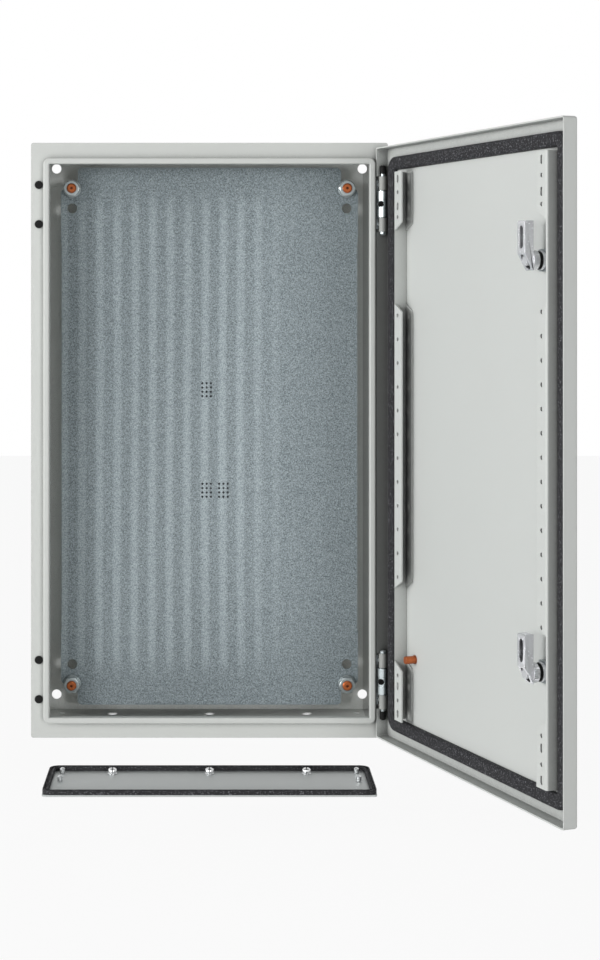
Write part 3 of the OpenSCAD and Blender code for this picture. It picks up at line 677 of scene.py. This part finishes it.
def makeCam(plan, name, node, body):
    low, high = shutBox(node)
    mid = (low.x + high.x) / 2
    form = bmesh.new()
    form.from_mesh(nodes[node].data)
    bmesh.ops.transform(form, matrix=doorBack, verts=form.verts[:])
    bmesh.ops.remove_doubles(form, verts=form.verts[:], dist=0.00001)
    bmesh.ops.dissolve_limit(form, angle_limit=math.radians(1.5), verts=form.verts[:], edges=form.edges[:])
    mesh = meshOf(name, form)
    holder = bpy.data.objects.new(name + "Blank", mesh)
    scene.collection.objects.link(holder)
    thick, slant = plan["thick"], plan["slant"]
    slope = math.atan2(thick, slant)
    foot = Matrix.Translation((mid, high.y - thick / 2, low.z + slant / 2)) @ Matrix.Rotation(-slope, 4, "X")
    face = foot @ Matrix.Translation((0, plan["faceCut"][2], 0))
    top = Matrix.Translation((mid, high.y, high.z - plan["pocketDown"]))
    cutters = [capsuleCutter(name + "CutF", plan["faceCut"], face),
               capsuleCutter(name + "CutA", plan["footPocket"], foot),
               capsuleCutter(name + "CutB", plan["longPocket"], top)]
    for cutter in cutters:
        cut = holder.modifiers.new("cut", "BOOLEAN")
        cut.operation, cut.object, cut.solver = "DIFFERENCE", cutter, "EXACT"
    edge = holder.modifiers.new("edge", "BEVEL")
    edge.width, edge.segments, edge.limit_method, edge.angle_limit = plan["edge"], 2, "ANGLE", math.radians(35)
    graph = bpy.context.evaluated_depsgraph_get()
    done = bpy.data.meshes.new_from_object(holder.evaluated_get(graph))
    holder.modifiers.clear()
    for extra in [holder] + cutters:
        bpy.data.objects.remove(extra)
    done.transform(doorTurn)
    addPiece(name, done, finishes["die_cast"], body, [node], smooth=20)


makeCam(camPlan, "upperCamCasting", "upper_lock_cam", "upper_cam")
makeCam(camPlan, "lowerCamCasting", "lower_lock_cam", "lower_cam")
print("cams made")


# floor and light
floorPlan = {"drop": 0.05, "half": 4.0, "glow": 0.92, "colour": (0.86, 0.86, 0.86)}


def makeFloor(plan):
    low = cadBox[0].z - plan["drop"]
    mesh = bpy.data.meshes.new("floor")
    s = plan["half"]
    mesh.from_pydata([(-s, -s, low), (s, -s, low), (s, s, low), (-s, s, low)], [], [(0, 1, 2, 3)])
    floor = bpy.data.objects.new("floor", mesh)
    scene.collection.objects.link(floor)
    f = Finish("paleFloor")
    rays = f.tree.nodes.new("ShaderNodeLightPath")
    f.set(Base_Color=plan["colour"], Roughness=0.8)
    glow = f.tree.nodes.new("ShaderNodeEmission")
    glow.inputs[0].default_value = (1, 1, 1, 1)
    blend = f.tree.nodes.new("ShaderNodeMixShader")
    share = (Sock(f, rays.outputs["Is Camera Ray"]) + Sock(f, rays.outputs["Is Glossy Ray"])).clipped() * plan["glow"]
    f.tree.links.new(share.out, blend.inputs[0])
    f.tree.links.new(f.shader.outputs[0], blend.inputs[1])
    f.tree.links.new(glow.outputs[0], blend.inputs[2])
    f.tree.links.new(blend.outputs[0], f.end.inputs[0])
    mesh.materials.append(f.material)


makeFloor(floorPlan)

lightPlan = {
    "world": 0.22,
    "lamps": [
        {"name": "frontKey", "at": (1.36, -2.95, 0.22), "size": 0.4, "power": 18},
        {"name": "leftFill", "at": (-2.5, -1.35, 0.4), "size": 0.8, "power": 44},
        {"name": "frontSoft", "at": (-1.15, -2.8, 0.15), "size": 0.6, "power": 17},
    ],
}


def makeLights(plan):
    world = bpy.data.worlds.new("studio")
    scene.world = world
    world.cycles.sampling_method = "NONE"
    world.use_nodes = True
    tree = world.node_tree
    tree.nodes.clear()
    rays = tree.nodes.new("ShaderNodeLightPath")
    soft = tree.nodes.new("ShaderNodeBackground")
    soft.inputs[0].default_value = (1, 1, 1, 1)
    soft.inputs[1].default_value = plan["world"]
    shown = tree.nodes.new("ShaderNodeBackground")
    shown.inputs[0].default_value = (1, 1, 1, 1)
    blend = tree.nodes.new("ShaderNodeMixShader")
    end = tree.nodes.new("ShaderNodeOutputWorld")
    seen = tree.nodes.new("ShaderNodeMath")
    seen.operation, seen.use_clamp = "ADD", True
    tree.links.new(rays.outputs["Is Camera Ray"], seen.inputs[0])
    tree.links.new(rays.outputs["Is Glossy Ray"], seen.inputs[1])
    tree.links.new(seen.outputs[0], blend.inputs[0])
    tree.links.new(soft.outputs[0], blend.inputs[1])
    tree.links.new(shown.outputs[0], blend.inputs[2])
    tree.links.new(blend.outputs[0], end.inputs[0])
    for lamp in plan["lamps"]:
        data = bpy.data.lights.new(lamp["name"], "AREA")
        data.shape, data.size, data.energy = "SQUARE", lamp["size"], lamp["power"]
        made = bpy.data.objects.new(lamp["name"], data)
        made.location = lamp["at"]
        made.rotation_euler = (-Vector(lamp["at"])).to_track_quat("-Z", "Y").to_euler()
        scene.collection.objects.link(made)


makeLights(lightPlan)
print("light set")
